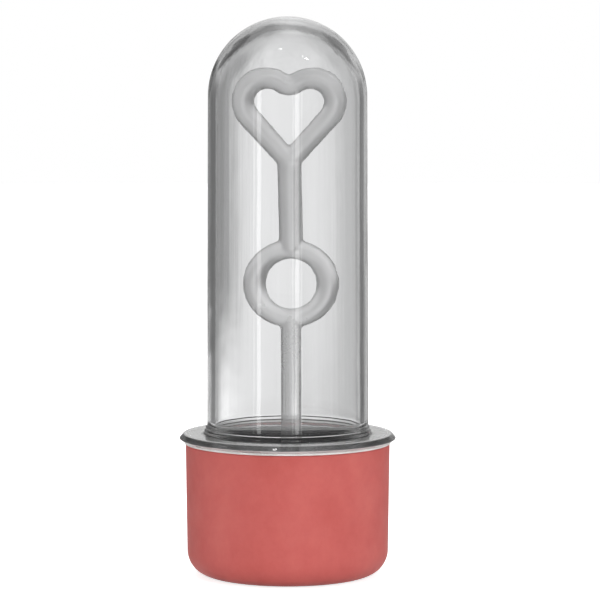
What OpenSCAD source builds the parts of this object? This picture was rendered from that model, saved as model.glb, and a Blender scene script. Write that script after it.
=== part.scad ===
// Cupping cup: a soft round cup that holds a clear domed chamber, with a two-loop wand inside.
// The origin is the centre of the cup's underside. +Z is up and -Y is the front.

/* [Cup] */
// Height of the soft cup, to its rim
cup_h = 33.3; // [30:0.1:38]
// Outer radius at the rim
cup_rim_r = 25.7; // [25.4:0.1:26.4]
// Outer radius just above the rounded bottom corner
cup_foot_r = 25.35; // [24.8:0.05:25.6]
// Radius of the rounded bottom corner
cup_corner_r = 6.2; // [4:0.2:7]
// Inner radius of the soft cup
cup_bore_r = 22.7; // [22.4:0.1:23]
// Thickness of the soft cup's floor
cup_floor = 2.8; // [2.4:0.2:3.4]

/* [Liner and gasket] */
// Wall of the rigid liner
liner_wall = 1.8; // [1.7:0.1:2]
// Floor of the rigid liner
liner_floor = 1.6; // [1.2:0.2:2.4]
// Thickness of the flat gasket between the two rims and the flange
gasket_t = 0.5; // [0.4:0.1:1]
// Outer radius of the gasket
gasket_r = 26; // [25.8:0.1:26.1]

/* [Chamber] */
// Height of the straight tube above its flange
tube_h = 84.5; // [80:0.5:90]
// Outer radius of the tube where it meets the flange
tube_foot_r = 20.3; // [20.1:0.05:20.4]
// Outer radius of the dome, and of the tube where it meets the dome
dome_r = 19.9; // [19.6:0.05:20]
// Thickness of the tube's wall
tube_wall = 1.85; // [1.6:0.05:2]
// How much thicker the crown of the dome is than the tube's wall
crown_extra = 1; // [0:0.1:1.5]
// Widest radius of the flange
flange_r = 27.2; // [26.8:0.1:28]
// Thickness of the flange
flange_t = 2; // [1.6:0.1:2.4]
// Height of the flange's widest line above its underside
flange_belly = 0.8; // [0.4:0.1:1.2]
// Length of the spigot below the flange
spigot_h = 5.5; // [4:0.1:7]

/* [Wand] */
// Height of the ring's centre
ring_z = 73.4; // [70:0.1:76]
// Radius of the hole in the ring
ring_hole_r = 6.5; // [5.5:0.1:7]
// Half thickness of the ring's bar
ring_bar_r = 2.55; // [2.2:0.05:2.8]
// Height of the point where the heart's two straight sides meet
heart_tip_z = 104; // [102:0.1:106]
// Half thickness of the heart's bar
heart_bar_r = 2.75; // [2.4:0.05:2.8]
// Radius of the stem below the ring
stem_low_r = 2.57; // [2.4:0.01:2.6]
// Radius of the stem between the ring and the heart
stem_high_r = 3.05; // [2.8:0.05:3.2]
// Sideways place of the stem and the ring
stem_x = 0.9; // [0:0.1:1.2]
// Sideways place of the heart
heart_x = 0.4; // [0:0.1:1.2]

/* [Hidden] */
$fn = 96;

// Clearances
snug = 0.05;
running = 0.08;
loose = 0.15;

// Soft cup
foot_recess_r = 15;
foot_recess_h = 0.4;
rim_chamfer = 0.4;

// Liner, whose top is level with the soft cup's rim
liner_r = cup_bore_r - snug;
liner_bore_r = liner_r - liner_wall;
liner_corner_r = 3.4;
liner_inner_corner = 0.8;
liner_floor_z = cup_floor + liner_floor;

// Chamber
flange_z = cup_h + gasket_t;
tube_z = flange_z + flange_t;
dome_z = tube_z + tube_h;
flange_edge_r = flange_r - 1;
collar_step_h = 1;
collar_r = tube_foot_r + 0.7;
collar_upper_r = tube_foot_r + 0.35;
spigot_r = liner_bore_r - loose;
spigot_z = flange_z - spigot_h;
bore_foot_r = tube_foot_r - tube_wall;
bore_dome_r = dome_r - tube_wall;
bore_dome_z = dome_z - crown_extra;

// Wand base: a disc that lies in the liner, with a boss that the stem plugs into
base_r = liner_bore_r - running;
base_z = liner_floor_z;
base_t = 2.5;
base_chamfer = 1.2;
boss_r = 5.5;
boss_h = 7;
socket_r = stem_low_r + running;
socket_depth = 6;
boss_top_z = base_z + base_t + boss_h;
socket_z = boss_top_z - socket_depth;

// Wand
ring_r = ring_hole_r + ring_bar_r;
stem_neck_r = 2.5;
stem_neck_h = 3;

// The heart's centreline: two straight sides, two lobes and the notch between them
side_angle = 42;
lobe_r = 6.1;
lobe_x = 5.5;
lobe_z = heart_tip_z + (lobe_x * cos(side_angle) + lobe_r) / sin(side_angle);
side_run = (lobe_z - heart_tip_z - lobe_r * sin(side_angle)) / cos(side_angle);
side_overrun = heart_bar_r / tan(side_angle);
notch_r = 3.2;
// The sides and the notch are a little slimmer than the lobes, and run a short way into them
slim_bar_r = heart_bar_r - 0.1;
bar_lap = 0.4;
notch_z = lobe_z + sqrt(pow(lobe_r + notch_r, 2) - lobe_x * lobe_x);
notch_half_angle = atan2(lobe_x, notch_z - lobe_z);
notch_sweep = notch_half_angle + bar_lap / notch_r * 180 / PI;

// A round pot, solid, with drafted sides and a rounded bottom corner
module rounded_pot(foot_r, rim_r, corner, height) {
    rotate_extrude() {
        square([foot_r - corner, height]);
        translate([0, corner]) polygon([
            [0, 0],
            [foot_r, 0],
            [rim_r, height - corner],
            [0, height - corner]
        ]);
        translate([foot_r - corner, corner]) intersection() {
            circle(corner);
            translate([0, -corner]) square(corner);
        }
    }
}

module cup_shell() {
    color([0.77, 0.39, 0.38]) difference() {
        rounded_pot(cup_foot_r, cup_rim_r, cup_corner_r, cup_h);
        translate([0, 0, cup_floor])
            rounded_pot(cup_bore_r, cup_bore_r, liner_corner_r, cup_h);
        translate([0, 0, -foot_recess_h])
            cylinder(r1 = foot_recess_r + 1, r2 = foot_recess_r, h = 2 * foot_recess_h);
        rim_bevel_cut();
    }
}

// The cut that breaks the soft cup's outer rim edge
module rim_bevel_cut() {
    rotate_extrude() polygon([
        [cup_rim_r - rim_chamfer, cup_h],
        [cup_rim_r + rim_chamfer, cup_h - 2 * rim_chamfer],
        [cup_rim_r + rim_chamfer, cup_h + rim_chamfer],
        [cup_rim_r - rim_chamfer, cup_h + rim_chamfer]
    ]);
}

module inner_liner() {
    color([0.36, 0.36, 0.37]) difference() {
        translate([0, 0, cup_floor])
            rounded_pot(liner_r, liner_r, liner_corner_r, cup_h - cup_floor);
        translate([0, 0, liner_floor_z])
            rounded_pot(liner_bore_r, liner_bore_r, liner_inner_corner, cup_h);
    }
}

module rim_gasket() {
    color([0.86, 0.86, 0.85]) translate([0, 0, cup_h]) difference() {
        cylinder(r = gasket_r, h = gasket_t);
        translate([0, 0, -1]) cylinder(r = spigot_r + snug, h = gasket_t + 2);
    }
}

// The flange is bevelled both ways from its widest line
module flange() {
    translate([0, 0, flange_z]) rotate_extrude() polygon([
        [0, 0],
        [flange_edge_r, 0],
        [flange_r, flange_belly],
        [flange_edge_r, flange_t],
        [0, flange_t]
    ]);
}

module clear_chamber() {
    color([0.85, 0.87, 0.88, 0.35]) difference() {
        union() {
            flange();
            translate([0, 0, spigot_z]) cylinder(r = spigot_r, h = spigot_h + flange_t / 2);
            translate([0, 0, tube_z]) cylinder(r = collar_r, h = collar_step_h);
            translate([0, 0, tube_z]) cylinder(r = collar_upper_r, h = 2 * collar_step_h);
            translate([0, 0, tube_z]) cylinder(r1 = tube_foot_r, r2 = dome_r, h = tube_h);
            translate([0, 0, dome_z]) sphere(dome_r);
        }
        translate([0, 0, spigot_z - 1])
            cylinder(r1 = bore_foot_r, r2 = bore_dome_r, h = bore_dome_z - spigot_z + 1);
        translate([0, 0, bore_dome_z]) sphere(bore_dome_r);
    }
}

module wand_base() {
    color([0.36, 0.36, 0.37]) difference() {
        union() {
            translate([0, 0, base_z])
                cylinder(r1 = base_r - base_chamfer, r2 = base_r, h = base_chamfer);
            translate([0, 0, base_z + base_chamfer])
                cylinder(r = base_r, h = base_t - base_chamfer);
            translate([stem_x, 0, base_z]) cylinder(r = boss_r, h = base_t + boss_h);
        }
        translate([stem_x, 0, socket_z]) cylinder(r = socket_r, h = socket_depth + 1);
    }
}

// A round bar bent to an arc in the XZ plane, from one angle to another
module arc_bar(x, z, bend_r, from, to, bar_r) {
    translate([x, 0, z]) rotate([90, 0, 0]) rotate([0, 0, from])
        rotate_extrude(angle = to - from, $fn = 48)
        translate([bend_r, 0]) circle(bar_r, $fn = 32);
}

// The right-hand straight side of the heart, mitred where it meets the left-hand one
module heart_side() {
    intersection() {
        translate([0, 0, heart_tip_z]) rotate([0, side_angle, 0])
            translate([0, 0, -side_overrun])
            cylinder(r = slim_bar_r, h = side_overrun + side_run + bar_lap, $fn = 32);
        translate([0, -heart_bar_r - 1, heart_tip_z - 2 * side_overrun])
            cube([2 * (lobe_x + lobe_r), 2 * heart_bar_r + 2, 2 * lobe_z]);
    }
}

module heart_half() {
    heart_side();
    arc_bar(lobe_x, lobe_z, lobe_r, -side_angle, 90 + notch_half_angle, heart_bar_r);
}

module heart() {
    translate([heart_x, 0, 0]) {
        heart_half();
        mirror([1, 0, 0]) heart_half();
        arc_bar(0, notch_z, notch_r, -90 - notch_sweep, notch_sweep - 90, slim_bar_r);
    }
}

module stem() {
    high_h = heart_tip_z - stem_neck_h - ring_z - ring_r;
    translate([stem_x, 0, 0]) {
        translate([0, 0, socket_z]) cylinder(r = stem_low_r, h = ring_z - ring_r - socket_z);
        translate([0, 0, ring_z + ring_r]) cylinder(r = stem_high_r, h = high_h);
        translate([0, 0, ring_z + ring_r + high_h])
            cylinder(r1 = stem_high_r, r2 = stem_neck_r, h = stem_neck_h);
    }
}

module loop_wand() {
    color([0.78, 0.78, 0.78]) {
        heart();
        translate([stem_x, 0, 0]) arc_bar(0, ring_z, ring_r, 0, 360, ring_bar_r);
        stem();
    }
}

cup_shell();
inner_liner();
rim_gasket();
clear_chamber();
wand_base();
loop_wand();
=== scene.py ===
"""A cupping cup: a soft coral cup, a clear domed chamber in it and a two-loop wand inside."""
import math

import bmesh
import bpy
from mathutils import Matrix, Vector

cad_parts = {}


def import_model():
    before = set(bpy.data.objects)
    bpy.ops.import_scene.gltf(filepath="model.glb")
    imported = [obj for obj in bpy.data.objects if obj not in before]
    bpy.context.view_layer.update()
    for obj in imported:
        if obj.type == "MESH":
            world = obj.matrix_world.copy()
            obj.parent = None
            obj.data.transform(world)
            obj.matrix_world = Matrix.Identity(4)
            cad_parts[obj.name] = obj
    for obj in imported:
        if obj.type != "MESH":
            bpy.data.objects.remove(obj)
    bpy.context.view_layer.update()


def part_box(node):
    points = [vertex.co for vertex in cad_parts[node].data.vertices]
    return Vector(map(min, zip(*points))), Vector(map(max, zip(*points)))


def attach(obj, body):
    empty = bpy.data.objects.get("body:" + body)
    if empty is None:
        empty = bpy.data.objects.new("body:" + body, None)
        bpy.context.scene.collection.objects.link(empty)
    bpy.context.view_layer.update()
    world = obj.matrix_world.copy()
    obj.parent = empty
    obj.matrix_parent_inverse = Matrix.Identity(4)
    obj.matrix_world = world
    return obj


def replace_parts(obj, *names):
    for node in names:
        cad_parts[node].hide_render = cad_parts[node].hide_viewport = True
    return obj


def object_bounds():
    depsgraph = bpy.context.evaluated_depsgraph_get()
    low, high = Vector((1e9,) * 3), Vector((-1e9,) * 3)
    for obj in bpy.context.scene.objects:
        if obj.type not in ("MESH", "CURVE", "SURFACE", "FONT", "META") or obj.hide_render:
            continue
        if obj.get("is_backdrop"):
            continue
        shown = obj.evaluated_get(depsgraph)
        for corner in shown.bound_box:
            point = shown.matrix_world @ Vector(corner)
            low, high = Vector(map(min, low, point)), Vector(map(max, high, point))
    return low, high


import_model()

MM = 0.001
SEGMENTS = 192


# ---------------------------------------------------------------- frame

def span(node):
    """A node's lowest and highest corners at rest, in millimetres."""
    low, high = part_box(node)
    return low / MM, high / MM


_, cup_high = span("cup_shell")
liner_low, liner_high = span("inner_liner")
gasket_low, gasket_high = span("rim_gasket")
chamber_low, chamber_high = span("clear_chamber")
base_low, base_high = span("wand_base")
wand_low, _ = span("loop_wand")


# ---------------------------------------------------------------- shapes

def arc(centre_r, centre_z, radius, start, end, steps):
    """Points of an arc in the (r, z) half plane, from one angle in degrees to another."""
    angles = [math.radians(start + (end - start) * i / steps) for i in range(steps + 1)]
    return [(centre_r + radius * math.cos(a), centre_z + radius * math.sin(a)) for a in angles]


def line(start, end, steps):
    """Points strictly between two (r, z) points, so that long walls can take fine detail."""
    return [
        tuple(a + (b - a) * i / steps for a, b in zip(start, end))
        for i in range(1, steps)
    ]


def new_object(name, bm, material):
    """Links a bmesh, in millimetres, as a smooth-shaded object in metres."""
    bmesh.ops.recalc_face_normals(bm, faces=bm.faces)
    bmesh.ops.scale(bm, vec=(MM, MM, MM), verts=bm.verts)
    mesh = bpy.data.meshes.new(name)
    bm.to_mesh(mesh)
    bm.free()
    for face in mesh.polygons:
        face.use_smooth = True
    piece = bpy.data.objects.new(name, mesh)
    bpy.context.scene.collection.objects.link(piece)
    mesh.materials.append(material)
    return piece


def revolve(profile, centre_x=0.0, closed=False, wobble=None):
    """Turns an (r, z) profile round a vertical axis. Points at r = 0 become one pole vertex."""
    bm = bmesh.new()
    rings = []
    for r, z in profile:
        if r < 1e-6:
            rings.append([bm.verts.new((centre_x, 0, z))])
            continue
        ring = []
        for i in range(SEGMENTS):
            a = 2 * math.pi * i / SEGMENTS
            grown = r + (wobble(a, r, z) if wobble else 0.0)
            ring.append(bm.verts.new((centre_x + grown * math.cos(a), grown * math.sin(a), z)))
        rings.append(ring)
    pairs = list(zip(rings, rings[1:]))
    if closed:
        pairs.append((rings[-1], rings[0]))
    for lower, upper in pairs:
        for i in range(SEGMENTS):
            j = (i + 1) % SEGMENTS
            if len(lower) == 1:
                bm.faces.new((lower[0], upper[i], upper[j]))
            elif len(upper) == 1:
                bm.faces.new((lower[i], lower[j], upper[0]))
            else:
                bm.faces.new((lower[i], lower[j], upper[j], upper[i]))
    return bm


# ---------------------------------------------------------------- materials

def linear(r, g, b):
    """An sRGB colour in 0..255 as the linear colour a shader takes."""
    def channel(c):
        c /= 255
        return c / 12.92 if c <= 0.04045 else ((c + 0.055) / 1.055) ** 2.4
    return (channel(r), channel(g), channel(b), 1.0)


def grey(value):
    """A linear grey as a colour."""
    return (value, value, value, 1.0)


class Nodes:
    """A short way to write the nodes of a material or a world."""

    def __init__(self, owner):
        owner.use_nodes = True
        self.owner = owner
        self.tree = owner.node_tree

    def add(self, kind, **values):
        node = self.tree.nodes.new(kind)
        for key, value in values.items():
            setattr(node, key, value)
        return node

    def link(self, source, target):
        self.tree.links.new(source, target)

    def place(self, scale=(1, 1, 1)):
        """The object's own coordinates, in metres, stretched along each axis."""
        coords = self.add("ShaderNodeTexCoord")
        mapping = self.add("ShaderNodeMapping")
        mapping.inputs["Scale"].default_value = scale
        self.link(coords.outputs["Object"], mapping.inputs["Vector"])
        return mapping.outputs["Vector"]

    def split(self, vector):
        node = self.add("ShaderNodeSeparateXYZ")
        self.link(vector, node.inputs[0])
        return node.outputs

    def noise(self, scale, detail=4.0, roughness=0.5, stretch=(1, 1, 1)):
        node = self.add("ShaderNodeTexNoise")
        node.inputs["Scale"].default_value = scale
        node.inputs["Detail"].default_value = detail
        node.inputs["Roughness"].default_value = roughness
        self.link(self.place(stretch), node.inputs["Vector"])
        return node.outputs["Fac"]

    def ramp(self, factor, stops):
        node = self.add("ShaderNodeValToRGB")
        elements = node.color_ramp.elements
        while len(elements) < len(stops):
            elements.new(0.5)
        for element, (position, colour) in zip(elements, stops):
            element.position = position
            element.color = colour
        self.link(factor, node.inputs["Fac"])
        return node.outputs["Color"]

    def range(self, factor, low, high, start=0.3, end=0.7, smooth=False):
        node = self.add("ShaderNodeMapRange")
        node.interpolation_type = "SMOOTHSTEP" if smooth else "LINEAR"
        node.inputs["From Min"].default_value = start
        node.inputs["From Max"].default_value = end
        node.inputs["To Min"].default_value = low
        node.inputs["To Max"].default_value = high
        self.link(factor, node.inputs["Value"])
        return node.outputs["Result"]

    def math(self, operation, first, second=None):
        node = self.add("ShaderNodeMath", operation=operation)
        for socket, value in zip(node.inputs, (first, second)):
            if isinstance(value, (int, float)):
                socket.default_value = value
            elif value is not None:
                self.link(value, socket)
        return node.outputs[0]

    def mix(self, kind, factor, first, second):
        """Mixes two colours or greys with a blend type such as MIX or MULTIPLY."""
        node = self.add("ShaderNodeMixRGB", blend_type=kind)
        for socket, value in zip(node.inputs, (factor, first, second)):
            if isinstance(value, (int, float, tuple)):
                socket.default_value = value
            else:
                self.link(value, socket)
        return node.outputs[0]

    def bump(self, height, distance, strength, after=None):
        node = self.add("ShaderNodeBump")
        node.inputs["Distance"].default_value = distance
        node.inputs["Strength"].default_value = strength
        self.link(height, node.inputs["Height"])
        if after is not None:
            self.link(after, node.inputs["Normal"])
        return node.outputs["Normal"]


class Material(Nodes):
    """A named material with a Principled shader."""

    def __init__(self, name):
        super().__init__(bpy.data.materials.new(name))
        self.shader = self.tree.nodes["Principled BSDF"]
        self.output = self.tree.nodes["Material Output"]

    def set(self, **values):
        for key, value in values.items():
            self.shader.inputs[key.replace("_", " ")].default_value = value

    def drive(self, socket, source):
        self.link(source, self.shader.inputs[socket])

    def pass_light(self, share):
        """Rays towards lamps pass straight through, as they do through thin clear walls."""
        path = self.add("ShaderNodeLightPath")
        through = self.add("ShaderNodeBsdfTransparent")
        through.inputs["Color"].default_value = grey(share)
        mix = self.add("ShaderNodeMixShader")
        self.link(path.outputs["Is Shadow Ray"], mix.inputs[0])
        self.link(self.shader.outputs[0], mix.inputs[1])
        self.link(through.outputs[0], mix.inputs[2])
        self.link(mix.outputs[0], self.output.inputs["Surface"])


def coral_silicone():
    """Matt coral silicone, softly blotched, with a fine grain over a slow unevenness."""
    m = Material("coral_silicone")
    m.set(Specular_IOR_Level=0.3, Subsurface_Weight=0.12, Subsurface_Scale=0.002)
    m.shader.inputs["Subsurface Radius"].default_value = (1.0, 0.35, 0.25)
    blotch = m.noise(90, detail=6, roughness=0.65, stretch=(1, 1, 0.8))
    colour = m.ramp(blotch, [
        (0.30, linear(192, 90, 84)),
        (0.50, linear(199, 98, 93)),
        (0.70, linear(205, 106, 100)),
    ])
    m.drive("Base Color", colour)
    m.drive("Roughness", m.range(m.noise(160), 0.48, 0.62))
    grain = m.bump(m.noise(2600, detail=2), 0.00004, 0.35)
    m.drive("Normal", m.bump(m.noise(60, detail=3), 0.0006, 0.2, after=grain))
    return m.owner


def shaded_grey_plastic(name, dark, light):
    """Grey plastic, between glossy and matt, a little cloudy. How dark it is made is partly painted
    shade, standing in for the shade inside the cup.
    """
    m = Material(name)
    m.set(Specular_IOR_Level=0.5)
    m.drive("Base Color", m.ramp(m.noise(70, detail=5), [(0.3, dark), (0.7, light)]))
    m.drive("Roughness", m.range(m.noise(240), 0.34, 0.5))
    m.drive("Normal", m.bump(m.noise(1800, detail=3), 0.00004, 0.4))
    return m.owner


def pale_silicone():
    """Cloudy, near-white silicone that lets a little light in."""
    m = Material("pale_silicone")
    m.set(Specular_IOR_Level=0.35, Subsurface_Weight=0.35, Subsurface_Scale=0.001)
    m.shader.inputs["Subsurface Radius"].default_value = (1.0, 1.0, 1.0)
    cloud = m.noise(220, detail=5)
    m.drive("Base Color", m.ramp(cloud, [
        (0.3, linear(212, 212, 209)),
        (0.7, linear(240, 240, 237)),
    ]))
    m.drive("Roughness", m.range(m.noise(300), 0.42, 0.58))
    m.drive("Normal", m.bump(m.noise(900, detail=3), 0.00005, 0.4))
    return m.owner


def clear_plastic(belly_z, edge_r, top_z):
    """Clear moulded plastic with faint vertical flow marks. The flange's lower bevel and the edge round
    its top are whitish and frosted, a painted highlight, and its upper bevel is painted darker, a
    painted shade."""
    m = Material("clear_plastic")
    m.set(IOR=1.49)
    streaks = m.noise(330, detail=5, roughness=0.6, stretch=(1, 1, 0.012))
    clear = m.ramp(streaks, [
        (0.35, (0.915, 0.918, 0.92, 1)),
        (0.5, (0.94, 0.942, 0.945, 1)),
        (0.65, (0.955, 0.957, 0.96, 1)),
    ])
    place = m.split(m.place())
    squares = [m.math("POWER", place[axis], 2.0) for axis in "XY"]
    radius = m.math("SQRT", m.math("ADD", *squares))

    def step(value, start, end, first=0, last=1):
        """Goes from first to last between two places in millimetres."""
        return m.range(value, first, last, start=start * MM, end=end * MM)

    on_bevels = step(radius, edge_r - 0.3, edge_r)
    below_belly = step(place["Z"], belly_z - 0.15, belly_z - 0.05, 1, 0)
    lower_bevel = m.math("MULTIPLY", on_bevels, below_belly)
    upper_bevel = m.math("MULTIPLY", on_bevels, m.math("SUBTRACT", 1.0, below_belly))
    near_edge = step(radius, edge_r - 1.3, edge_r - 0.9)
    near_top = step(place["Z"], top_z - 0.16, top_z - 0.1, 0, 0.6)
    patchy = m.range(m.noise(90, detail=3), 0.55, 1)
    # Painted highlight: the lower bevel and the edge round the top get a whitish frosted finish, which
    # the lamps light up.
    highlight_satin = m.math("MAXIMUM",
                   m.math("MULTIPLY", lower_bevel, patchy),
                   m.math("MULTIPLY", near_edge, near_top))
    # Painted shade: the clear colour is multiplied darker on the upper bevel.
    painted_shade_clear = m.mix("MULTIPLY", upper_bevel, clear, (0.32, 0.32, 0.33, 1))
    m.drive("Base Color", m.mix("MIX", highlight_satin, painted_shade_clear, grey(0.9)))
    m.drive("Transmission Weight", m.range(highlight_satin, 1.0, 0.25, start=0, end=1))
    polish = m.range(m.noise(140, detail=4), 0.0, 0.03)
    m.drive("Roughness", m.mix("MIX", highlight_satin, polish, grey(0.4)))
    flow = m.bump(m.noise(420, detail=3, stretch=(1, 1, 0.02)), 0.0001, 0.25)
    m.drive("Normal", m.bump(m.noise(60, detail=2), 0.0008, 0.12, after=flow))
    m.pass_light(0.86)
    return m.owner


def hazy_plastic():
    """The wand's see-through plastic: clearer at the stem's foot, hazier at the loops."""
    m = Material("hazy_plastic")
    m.set(IOR=1.3, Specular_IOR_Level=0.3)
    cloud = m.noise(110, detail=5)
    m.drive("Base Color", m.ramp(cloud, [
        (0.3, linear(233, 233, 233)),
        (0.7, linear(244, 244, 244)),
    ]))
    height = m.split(m.place())["Z"]
    mouth, ring_foot, heart_tip = 0.034, 0.05, 0.1
    m.drive("Transmission Weight", m.range(height, 0.95, 0.86, start=mouth, end=ring_foot))
    haze = m.range(height, 0.16, 0.44, start=mouth, end=heart_tip)
    m.drive("Roughness", m.math("MULTIPLY", haze, m.range(m.noise(300), 0.85, 1.15)))
    m.drive("Normal", m.bump(m.noise(350, detail=2), 0.00005, 0.25))
    m.pass_light(0.8)
    return m.owner


# ---------------------------------------------------------------- soft cup

def cup_shell():
    """The soft cup: its walls wave a little, as thick silicone does."""
    rim_r, height, floor_z = cup_high.x, cup_high.z, liner_low.z
    foot_r, corner, bore_r, inner_corner = 25.35, 6.2, 22.7, 3.4
    recess_r, recess_h, recess_edge = 15.0, 0.4, 0.9
    lip, bore_edge = 0.55, 0.3
    profile = [(0, recess_h)]
    profile += line((0, recess_h), (recess_r, recess_h), 6)
    profile += [(recess_r, recess_h)]
    profile += arc(recess_r + recess_edge, recess_h, recess_h, 180, 270, 4)
    profile += arc(foot_r - corner, corner, corner, 270, 360, 18)
    profile += line((foot_r, corner), (rim_r, height - lip), 24)
    profile += arc(rim_r - lip, height - lip, lip, 0, 90, 6)
    profile += arc(bore_r + bore_edge, height - bore_edge, bore_edge, 90, 180, 4)
    profile += line((bore_r, height - bore_edge), (bore_r, floor_z + inner_corner), 12)
    profile += arc(bore_r - inner_corner, floor_z + inner_corner, inner_corner, 0, -90, 8)
    profile += [(0, floor_z)]

    def wave(a, r, z):
        """Moves the outside in or out, more towards the rim and never past its full radius."""
        depth = 0.05
        if r < bore_r + 1 or z < 1:
            return 0.0
        return depth * math.sin(2 * a + 0.7) * z / height - depth

    piece = new_object("soft_cup", revolve(profile, wobble=wave), coral_silicone())
    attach(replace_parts(piece, "cup_shell"), "cup")


def inner_liner():
    """The rigid grey pot inside the soft cup."""
    outer_r, top, bottom = liner_high.x, liner_high.z, liner_low.z
    wall, floor_t, corner, inner_corner, edge = 1.8, 1.6, 3.4, 0.8, 0.2
    bore_r, floor_z = outer_r - wall, bottom + floor_t
    profile = [(0, bottom)]
    profile += arc(outer_r - corner, bottom + corner, corner, 270, 360, 10)
    profile += line((outer_r, bottom + corner), (outer_r, top - edge), 10)
    profile += arc(outer_r - edge, top - edge, edge, 0, 90, 4)
    profile += arc(bore_r + edge, top - edge, edge, 90, 180, 4)
    profile += line((bore_r, top - edge), (bore_r, floor_z + inner_corner), 12)
    profile += arc(bore_r - inner_corner, floor_z + inner_corner, inner_corner, 0, -90, 6)
    profile += [(0, floor_z)]
    # The liner's own colour is grey. How dark it is made is partly painted shade from inside the cup.
    plastic = shaded_grey_plastic("liner_plastic", linear(78, 78, 80), linear(94, 94, 96))
    piece = new_object("liner", revolve(profile), plastic)
    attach(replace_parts(piece, "inner_liner"), "cup")


def rim_gasket():
    """The flat ring between the rims and the flange."""
    outer_r, low, high = gasket_high.x, gasket_low.z, gasket_high.z
    inner_r, edge = 20.75, 0.12
    profile = arc(outer_r - edge, low + edge, edge, -90, 0, 4)
    profile += arc(outer_r - edge, high - edge, edge, 0, 90, 4)
    profile += arc(inner_r + edge, high - edge, edge, 90, 180, 4)
    profile += arc(inner_r + edge, low + edge, edge, 180, 270, 4)
    piece = new_object("gasket", revolve(profile, closed=True), pale_silicone())
    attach(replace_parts(piece, "rim_gasket"), "chamber")


# ---------------------------------------------------------------- chamber

def clear_chamber():
    """One clear moulding: spigot, flange, two small collar beads, tapering tube and dome."""
    flange_r, low, top = chamber_high.x, chamber_low.z, chamber_high.z
    flange_low, flange_t, belly, bevel = gasket_high.z, 2.0, 0.8, 1.0
    flange_top, belly_z, edge_r = flange_low + flange_t, flange_low + belly, flange_r - bevel
    foot_r, dome_r, wall, crown, spigot_r = 20.3, 19.9, 1.85, 1.0, 20.7
    dome_z = top - dome_r
    bore_foot_r, bore_dome_r, bore_z = foot_r - wall, dome_r - wall, dome_z - crown
    lip, belly_round, top_round, break_edge = 0.25, 0.18, 0.4, 0.1
    top_edge_r, collar_foot_r, groove_r = edge_r - 0.19, foot_r + 0.95, foot_r + 0.3
    bead_z, groove_z, upper_bead_z, collar_z = (flange_top + up for up in (0.55, 1.02, 1.5, 2.0))
    bead_r, upper_bead_r, upper_bead_in = 0.4, 0.38, 0.03

    # Inside, from the crown down to the spigot's lip
    profile = arc(0, bore_z, bore_dome_r, 90, 0, 48)
    profile += line((bore_dome_r, bore_z), (bore_foot_r, low + lip), 60)
    profile += arc(bore_foot_r + lip, low + lip, lip, 180, 270, 4)
    # Outside, up the spigot and under the flange
    under_r = spigot_r + break_edge
    profile += arc(spigot_r - lip, low + lip, lip, 270, 360, 4)
    profile += line((spigot_r, low + lip), (spigot_r, flange_low - break_edge), 6)
    profile += [(spigot_r, flange_low - break_edge), (under_r, flange_low)]
    profile += line((under_r, flange_low), (edge_r - 0.15, flange_low), 6)
    profile += [(edge_r - 0.15, flange_low), (edge_r + 0.05, flange_low + 0.07)]
    # Round the flange's bevels and over its top
    profile += arc(flange_r - belly_round, belly_z, belly_round, -45, 45, 6)
    profile += arc(top_edge_r, flange_top - top_round, top_round, 40, 90, 6)
    profile += line((top_edge_r, flange_top), (collar_foot_r, flange_top), 6)
    # Over the collar's two beads and up the tube and the dome
    profile += [(collar_foot_r, flange_top), (collar_foot_r - 0.19, flange_top + break_edge)]
    profile += arc(groove_r, bead_z, bead_r, -20, 80, 6)
    profile += [(groove_r, groove_z)]
    profile += arc(foot_r - upper_bead_in, upper_bead_z, upper_bead_r, -40, 80, 6)
    profile += [(foot_r, collar_z)]
    profile += line((foot_r, collar_z), (dome_r, dome_z), 60)
    profile += arc(0, dome_z, dome_r, 0, 90, 48)
    # The two ends lie exactly on the axis
    profile[0] = (0, bore_z + bore_dome_r)
    profile[-1] = (0, top)

    def uneven(a, r, z):
        """The dome's inside is a little uneven, as plastic is where the flow meets."""
        if z < bore_z or math.hypot(r, z - bore_z) > bore_dome_r + 0.1:
            return 0.0
        share = (z - bore_z) / bore_dome_r
        ripple = math.sin(5 * a + 9 * share) + 0.6 * math.sin(11 * a - 14 * share + 1.3)
        return 0.03 * ripple * math.sin(math.pi * share) ** 2

    plastic = clear_plastic(belly_z, edge_r, flange_top)
    piece = new_object("chamber_shell", revolve(profile, wobble=uneven), plastic)
    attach(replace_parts(piece, "clear_chamber"), "chamber")


# ---------------------------------------------------------------- wand

# Sideways place of the stem, the ring and the base's boss
STEM_X = 0.9


def always(value):
    """A function that gives one value the whole way along."""
    return lambda share: value


def stroke(points, centre, half_width, half_depth, closed, groove=always(0.0)):
    """A bar along a path in the XZ plane. Each function takes the share of the way along."""
    sides, groove_place, groove_width = 32, 0.4, 0.2
    count = len(points)
    bm = bmesh.new()
    rings = []
    for i, (x, z) in enumerate(points):
        before = points[(i - 1) % count] if closed or i else points[0]
        after = points[(i + 1) % count] if closed or i + 1 < count else points[-1]
        along = Vector((after[0] - before[0], after[1] - before[1])).normalized()
        out = Vector((along.y, -along.x))
        share = i / count
        ring = []
        for k in range(sides):
            a = 2 * math.pi * k / sides
            dent = 1 - groove(share) * math.exp(-((math.cos(a) - groove_place) / groove_width) ** 2)
            u = half_width(share) * math.cos(a)
            v = half_depth(share) * math.sin(a) * dent
            ring.append(bm.verts.new((centre + x + out.x * u, v, z + out.y * u)))
        rings.append(ring)
    pairs = list(zip(rings, rings[1:]))
    if closed:
        pairs.append((rings[-1], rings[0]))
    for first, second in pairs:
        for k in range(sides):
            n = (k + 1) % sides
            bm.faces.new((first[k], first[n], second[n], second[k]))
    if not closed:
        bm.faces.new(list(reversed(rings[0])))
        bm.faces.new(rings[-1])
    return bm


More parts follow.
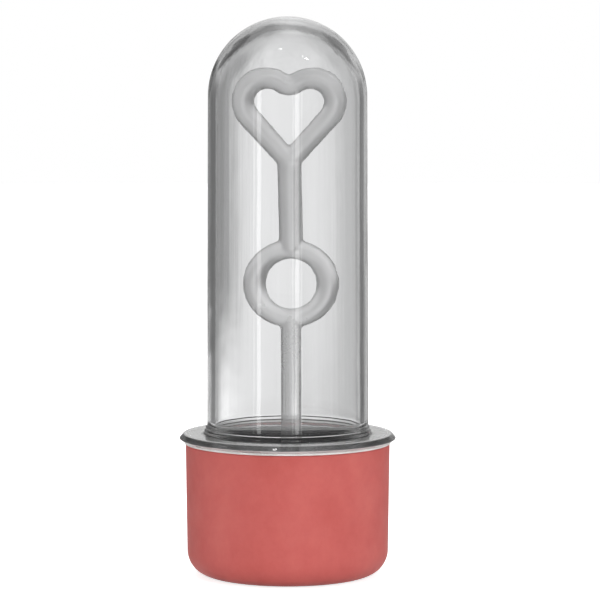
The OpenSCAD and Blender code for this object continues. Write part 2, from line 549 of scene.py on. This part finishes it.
def heart_path():
    """The heart's centreline, from the tip up the right side, over both lobes and back."""
    tip_z, angle, lobe_r, lobe_x, notch_r = 104.0, 42.0, 6.1, 5.5, 3.2
    a = math.radians(angle)
    lobe_z = tip_z + (lobe_x * math.cos(a) + lobe_r) / math.sin(a)
    run = (lobe_z - tip_z - lobe_r * math.sin(a)) / math.cos(a)
    notch_z = lobe_z + math.sqrt((lobe_r + notch_r) ** 2 - lobe_x ** 2)
    half = math.degrees(math.atan2(lobe_x, notch_z - lobe_z))
    tip, side_top = (0.0, tip_z), (run * math.sin(a), tip_z + run * math.cos(a))
    right = [tip] + line(tip, side_top, 24)
    right += arc(lobe_x, lobe_z, lobe_r, -angle, 90 + half, 44)
    right += arc(0, notch_z, notch_r, half - 90, -90, 8)[1:-1]
    return right + [(0, notch_z - notch_r)] + [(-x, z) for x, z in reversed(right[1:])]


def join_soft(name, parts, voxel, rounds, material):
    """Melts overlapping closed bars into one soft moulding with filleted joins."""
    bm = bmesh.new()
    for part in parts:
        mesh = bpy.data.meshes.new("part")
        part.to_mesh(mesh)
        part.free()
        bm.from_mesh(mesh)
        bpy.data.meshes.remove(mesh)
    piece = new_object(name, bm, material)
    remesh = piece.modifiers.new("melt", "REMESH")
    remesh.mode = "VOXEL"
    remesh.voxel_size = voxel * MM
    remesh.use_smooth_shade = True
    smooth = piece.modifiers.new("fillet", "SMOOTH")
    smooth.factor = 0.5
    smooth.iterations = rounds
    bpy.context.view_layer.update()
    evaluated = piece.evaluated_get(bpy.context.evaluated_depsgraph_get())
    melted = bpy.data.meshes.new_from_object(evaluated)
    piece.modifiers.clear()
    old = piece.data
    piece.data = melted
    bpy.data.meshes.remove(old)
    return piece


def straight(start, end, steps):
    """Evenly spaced points from one (x, z) point to another."""
    return [start] + line(start, end, steps) + [end]


def loop_wand():
    """Heart, ring and stem, in one moulding. The ring's bar is thicker at its sides."""
    ring_z, hole_r, heart_x = 73.4, 6.5, 0.4
    heart = stroke(
        heart_path(), heart_x,
        lambda share: 2.75 + 0.15 * math.cos(4 * math.pi * (share - 0.27)),
        always(2.8),
        closed=True,
        groove=lambda share: 0.3 * max(0.0, math.sin(math.pi * share)) ** 2,
    )
    wide, tall, count = hole_r + 2.7, hole_r + 2.15, 120
    turns = [2 * math.pi * i / count for i in range(count)]
    ring = stroke(
        [(wide * math.sin(a), ring_z - tall * math.cos(a)) for a in turns], STEM_X,
        lambda share: 2.65 - 0.25 * math.cos(4 * math.pi * share),
        always(2.55),
        closed=True,
    )
    low_r, high_r, into_ring, high_top, lean = 2.65, 3.1, 2, 103.5, -0.4
    low_path = straight((0, wand_low.z), (0, ring_z - hole_r - into_ring), 40)
    high_path = straight((0, ring_z + hole_r + into_ring), (lean, high_top), 20)
    low_stem = stroke(low_path, STEM_X, always(low_r), always(low_r), closed=False)
    high_stem = stroke(high_path, STEM_X, always(high_r), always(high_r), closed=False)
    voxel, rounds = 0.3, 24
    piece = join_soft("wand_bars", [heart, ring, low_stem, high_stem], voxel, rounds, hazy_plastic())
    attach(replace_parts(piece, "loop_wand"), "wand")


def wand_base():
    """The disc that lies in the liner, and the boss that the stem plugs into."""
    outer_r, low, top = base_high.x, base_low.z, base_high.z
    disc_t, edge, chamfer, ease = 2.5, 0.4, 1.2, 0.1
    disc_top, inside, outside = low + disc_t, chamfer - ease, chamfer + ease
    material = shaded_grey_plastic("base_plastic", linear(72, 72, 74), linear(88, 88, 90))

    boss_r, boss_taper, fillet = 5.5, 0.15, 1.0
    profile = [(0, low)]
    profile += [(outer_r - outside, low), (outer_r - inside, low + ease)]
    profile += [(outer_r - ease, low + inside), (outer_r, low + outside)]
    profile += arc(outer_r - edge, disc_top - edge, edge, 0, 90, 5)
    profile += line((outer_r - edge, disc_top), (boss_r, disc_top), 6)
    profile += [(0, disc_top)]
    disc = new_object("base_disc", revolve(profile), material)

    socket_r, socket_depth, socket_edge, sink = 2.65, 6.0, 0.3, 0.05
    foot, boss_top_r = disc_top - sink, boss_r - boss_taper
    profile = [(0, foot)]
    profile += arc(boss_r + fillet, foot + fillet, fillet, 270, 180, 6)
    profile += line((boss_r, disc_top + fillet), (boss_top_r, top - edge), 6)
    profile += arc(boss_top_r - edge, top - edge, edge, 0, 90, 5)
    profile += arc(socket_r + socket_edge, top - socket_edge, socket_edge, 90, 180, 4)
    profile += [(socket_r, top - socket_depth), (0, top - socket_depth)]
    boss = new_object("base_boss", revolve(profile, centre_x=STEM_X), material)

    for piece in (disc, boss):
        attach(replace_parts(piece, "wand_base"), "base")


# ---------------------------------------------------------------- stage

def floor():
    """A white floor. The clear parts don't see it, so that no edge of it shows through them."""
    radius, sink = 2000, 0.1
    bm = bmesh.new()
    bmesh.ops.create_circle(bm, cap_ends=True, segments=96, radius=radius)
    m = Material("pale_floor")
    m.set(Roughness=0.9, Specular_IOR_Level=0.1)
    m.shader.inputs["Emission Color"].default_value = grey(1.0)
    seen = m.add("ShaderNodeLightPath").outputs["Is Camera Ray"]
    m.drive("Base Color", m.mix("MIX", seen, grey(0.6), grey(0.8)))
    m.drive("Emission Strength", m.math("MULTIPLY", seen, 0.78))
    obj = new_object("floor", bm, m.owner)
    obj.location.z = -sink * MM
    obj.visible_glossy = False
    obj.visible_transmission = False
    obj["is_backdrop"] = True


# The studio's brightness all round, by azimuth in degrees from the front, positive to the right.
# The first ring is level with the object and above; the second is a few degrees below it.
FAR_RING = [
    (-180, 0.88), (-178.5, 0.91), (-177.4, 0.92), (-176.3, 0.80), (-174.8, 0.66), (-173.5, 0.5),
    (-171.5, 0.33), (-168, 0.26), (-162, 0.22), (-152, 0.16), (-142, 0.15), (-130, 0.25),
    (-105, 0.72), (-80, 0.75), (-60, 0.75), (20, 0.8), (60, 0.75), (80, 0.75),
    (110, 0.72), (130, 0.3), (144, 0.16), (151, 0.24), (156, 0.6), (159.5, 0.62), (162, 0.36),
    (166, 0.54), (170.5, 0.56), (172.5, 0.53), (174.6, 0.66), (176.2, 0.77), (178, 0.86), (180, 0.88),
]
NEAR_RING = [
    (-180, 0.82), (-176, 0.9), (-174, 0.98), (-172.6, 1.15), (-170, 1.25), (-167.5, 1.2),
    (-164, 0.85), (-158, 0.5), (-151, 0.22), (-144, 0.2), (-136, 0.25), (-122, 0.45), (-105, 0.72),
    (-80, 0.75), (-60, 0.75), (20, 0.8), (60, 0.75), (80, 0.75), (110, 0.72), (130, 0.3),
    (144, 0.12), (151, 0.2), (156, 0.6), (159.5, 0.62), (162, 0.28), (166, 0.55), (170, 0.53),
    (173.8, 0.57), (176.2, 0.65), (178, 0.73), (180, 0.8),
]
# Tall strip lights, seen only as reflections: azimuth, half width in degrees, brightness
STRIPS = [
    (-49, 0.9, 1.8), (-41, 3.4, 4.0), (7.4, 0.8, 2.5), (13.4, 2.6, 4.0), (19.6, 0.9, 2.2),
]
# Round cards: azimuth, elevation and half width in degrees, and what they multiply the light by
CARDS = [(-154, 24, 10, 0.2), (156, 24, 10, 0.45), (-170, 29, 8, 0.7), (178, 28, 7, 1.5)]
# Small lamps, seen only as reflections: azimuth, elevation and half width in degrees, brightness
LAMPS = [(42, 54, 1.6, 26), (37, 57, 0.8, 26), (-30, 72, 1.2, 14)]
# What the light is multiplied by at each elevation in degrees
LIFT = [
    (-90, 0.8), (-12, 1.0), (-7, 1.0), (4, 1.0), (16, 0.95), (26, 0.7), (36, 0.48), (60, 0.7), (90, 1.0),
]


def direction(azimuth, elevation):
    """The unit vector that points there, from two angles in degrees."""
    a, e = math.radians(azimuth), math.radians(elevation)
    return (math.sin(a) * math.cos(e), -math.cos(a) * math.cos(e), math.sin(e))


def world():
    """A studio: white to the camera, and to everything else soft light, cards and strips."""
    scene = bpy.context.scene
    scene.world = bpy.data.worlds.new("studio")
    w = Nodes(scene.world)
    w.tree.nodes.clear()
    coords = w.add("ShaderNodeTexCoord").outputs["Generated"]
    axes = w.split(coords)
    azimuth = w.math("ARCTAN2", axes["X"], w.math("MULTIPLY", axes["Y"], -1.0))
    elevation = w.math("ARCSINE", axes["Z"])
    path = w.add("ShaderNodeLightPath")
    mirrored = path.outputs["Is Reflection Ray"]

    def fade(first, last, start, end):
        """Goes from first to last between two elevations in degrees."""
        start, end = math.radians(start), math.radians(end)
        return w.range(elevation, first, last, start=start, end=end, smooth=True)

    def ring(stops):
        """The brightness at each azimuth."""
        share = w.range(azimuth, 0, 1, start=-math.pi, end=math.pi)
        return w.ramp(share, [((a + 180) / 360, grey(v)) for a, v in stops])

    def disc(a, e, half, outside, inside, soft):
        """One value inside a circle round a direction, and another outside it."""
        near = w.add("ShaderNodeVectorMath", operation="DOT_PRODUCT")
        near.inputs[1].default_value = direction(a, e)
        w.link(coords, near.inputs[0])
        rim = math.cos(math.radians(half))
        return w.range(near.outputs["Value"], outside, inside, start=rim - soft, end=rim + soft)

    # The rings, more even higher up and lighter towards the floor
    level = w.mix("MIX", fade(1, 0, -7.3, -4.3), ring(FAR_RING), ring(NEAR_RING))
    level = w.mix("MIX", fade(0, 0.65, 6, 17), level, grey(0.68))
    level = w.mix("MIX", fade(0.8, 0, -13, -8.5), level, grey(1.0))
    share = w.range(elevation, 0, 1, start=-math.pi / 2, end=math.pi / 2)
    level = w.mix("MULTIPLY", 1.0, level, w.ramp(share, [((e + 90) / 180, grey(v)) for e, v in LIFT]))
    for a, e, half, times in CARDS:
        level = w.mix("MULTIPLY", 1.0, level, disc(a, e, half, 1, times, 0.004))

    # The strips end a little above the horizon, so that they don't bend over the dome
    low_mirrored = w.math("MULTIPLY", fade(1, 0, 5, 14), mirrored)
    for a, half, bright in STRIPS:
        off = w.math("ABSOLUTE", w.math("SUBTRACT", azimuth, math.radians(a)))
        edge, soft = math.radians(half), 0.2 * math.radians(half)
        strip = w.range(off, bright, 0, start=edge - soft, end=edge + soft, smooth=True)
        level = w.mix("ADD", 1.0, level, w.math("MULTIPLY", strip, low_mirrored))
    for a, e, half, bright in LAMPS:
        spot = disc(a, e, half, 0, bright, 0.0001)
        level = w.mix("ADD", 1.0, level, w.math("MULTIPLY", spot, mirrored))

    studio = w.add("ShaderNodeBackground")
    w.link(level, studio.inputs["Color"])
    white = w.add("ShaderNodeBackground")
    white.inputs["Color"].default_value = grey(1.0)
    mix = w.add("ShaderNodeMixShader")
    w.link(path.outputs["Is Camera Ray"], mix.inputs[0])
    w.link(studio.outputs[0], mix.inputs[1])
    w.link(white.outputs[0], mix.inputs[2])
    out = w.add("ShaderNodeOutputWorld")
    w.link(mix.outputs[0], out.inputs["Surface"])


def area_light(name, place, size, watts):
    """A soft lamp aimed at the object's middle. It doesn't show in the clear parts."""
    aim, spread = Vector((0, 0, 0.5 * chamber_high.z * MM)), math.radians(160)
    data = bpy.data.lights.new(name, "AREA")
    data.shape = "RECTANGLE"
    data.size, data.size_y = size
    data.energy = watts
    data.spread = spread
    lamp = bpy.data.objects.new(name, data)
    lamp.location = place
    lamp.rotation_euler = (aim - Vector(place)).to_track_quat("-Z", "Y").to_euler()
    lamp.visible_glossy = False
    lamp.visible_transmission = False
    bpy.context.scene.collection.objects.link(lamp)


def camera():
    """Stands at the object's shoulder height, square to the wand's loops, looking slightly down."""
    low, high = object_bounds()
    height = high.z - low.z
    data = bpy.data.cameras.new("camera")
    data.sensor_width = 36
    data.lens = 192
    data.clip_start = 0.01
    cam = bpy.data.objects.new("camera", data)
    side, distance = 0.0031, 0.8
    cam.location = (side, -distance, 0.984 * height)
    aim = Vector((side, 0, 0.494 * height))
    cam.rotation_euler = (aim - cam.location).to_track_quat("-Z", "Y").to_euler()
    bpy.context.scene.collection.objects.link(cam)
    bpy.context.scene.camera = cam


def look():
    """Plain colours, and enough bounces to see through every clear wall."""
    scene = bpy.context.scene
    scene.view_settings.view_transform = "Standard"
    scene.view_settings.look = "None"
    scene.cycles.max_bounces = 24
    scene.cycles.transmission_bounces = 20
    scene.cycles.transparent_max_bounces = 16
    scene.cycles.caustics_refractive = False
    scene.cycles.caustics_reflective = False
    scene.cycles.use_denoising = True


camera()
cup_shell()
inner_liner()
rim_gasket()
clear_chamber()
loop_wand()
wand_base()
floor()
world()
area_light("top_softbox", (0.0, -0.15, 0.75), (0.5, 0.4), 1.2)
area_light("front_softbox", (0.3, -0.7, 0.3), (0.25, 0.5), 1.05)
area_light("left_fill", (-0.55, -0.35, 0.1), (0.3, 0.3), 0.42)
area_light("right_fill", (0.6, -0.2, 0.12), (0.2, 0.3), 0.55)
area_light("back_fill", (-0.1, 0.7, 0.3), (0.4, 0.4), 1.1)
area_light("low_fill", (-0.05, -0.7, 0.03), (0.5, 0.05), 0.38)
look()
